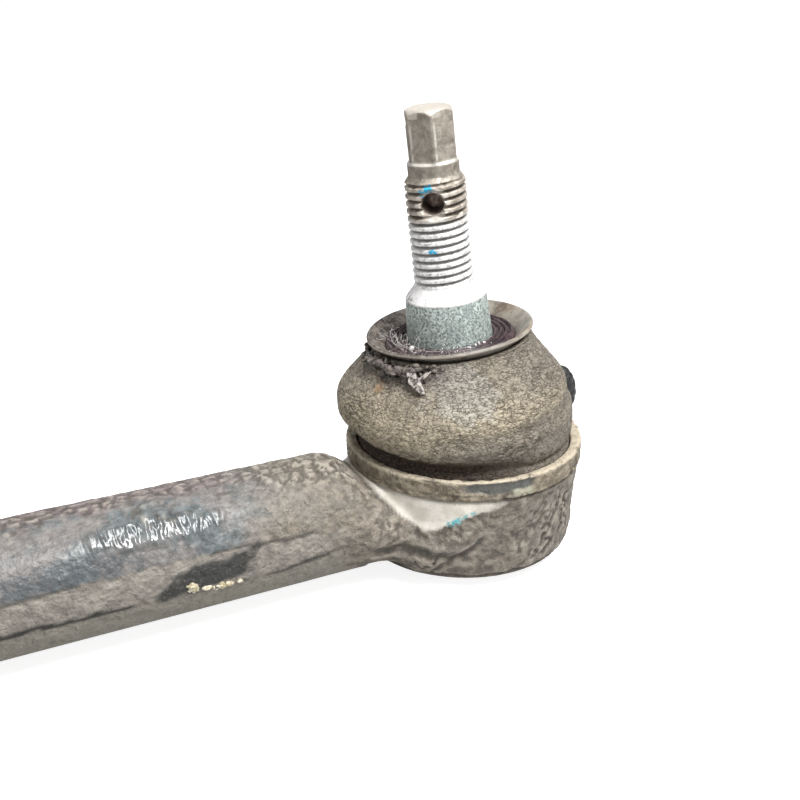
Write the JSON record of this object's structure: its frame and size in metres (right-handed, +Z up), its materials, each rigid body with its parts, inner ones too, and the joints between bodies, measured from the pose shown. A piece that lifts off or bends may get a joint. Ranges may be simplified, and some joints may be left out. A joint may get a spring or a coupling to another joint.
{
  "type": "tie rod end",
  "caption": "Steering tie rod end with a leaning tapered ball stud, a rubber dust boot and a round threaded shank.",
  "frame": {"origin": "centre of the end cap's flat outer face, on the socket's axis; the part rests on this face and on its shank", "axes": "+Z up along the socket's axis towards the stud; -X along the shank towards its threaded end"},
  "size_m": [0.1746, 0.0496, 0.0923],
  "materials": {
    "forging": "worn grey paint over forged steel, rust and dirt",
    "cap_steel": "dull pressed steel",
    "spring_steel": "blued spring steel",
    "lower_seat_plastic": "natural acetal",
    "upper_seat_plastic": "natural acetal",
    "stud_steel": "machined steel with a brown oxide bloom",
    "ring_steel": "tan passivated steel, stained",
    "boot_rubber": "weathered rubber with fine cracks",
    "collar_steel": "thin bronze-brown sheet",
    "seal_rubber": "greasy dark rubber"
  },
  "bodies": {
    "socket": {"housing": "forging", "end_cap": "cap_steel", "disc_spring": "spring_steel", "upper_ball_seat": "upper_seat_plastic", "boot_retaining_ring": "ring_steel"},
    "swivel": {"lower_ball_seat": "lower_seat_plastic", "dust_boot": "boot_rubber"},
    "collar": {"boot_collar": "collar_steel", "stud_seal": "seal_rubber"},
    "stud": {"ball_stud": "stud_steel"}
  },
  "joints": [
    {"name": "stud_azimuth", "type": "hinge", "parent": "socket", "child": "swivel", "pos_m": [0, 0, 0.017], "axis": [0, 0, 1], "continuous": true},
    {"name": "stud_lean", "type": "hinge", "parent": "swivel", "child": "collar", "pos_m": [0, 0, 0.017], "axis": [-0.454, -0.891, 0], "range_deg": [-28.2, 15.8], "deforming": ["dust_boot"]},
    {"name": "stud_spin", "type": "hinge", "parent": "collar", "child": "stud", "pos_m": [0, 0, 0.017], "axis": [-0.0962, 0.049, 0.9942], "continuous": true}
  ]
}
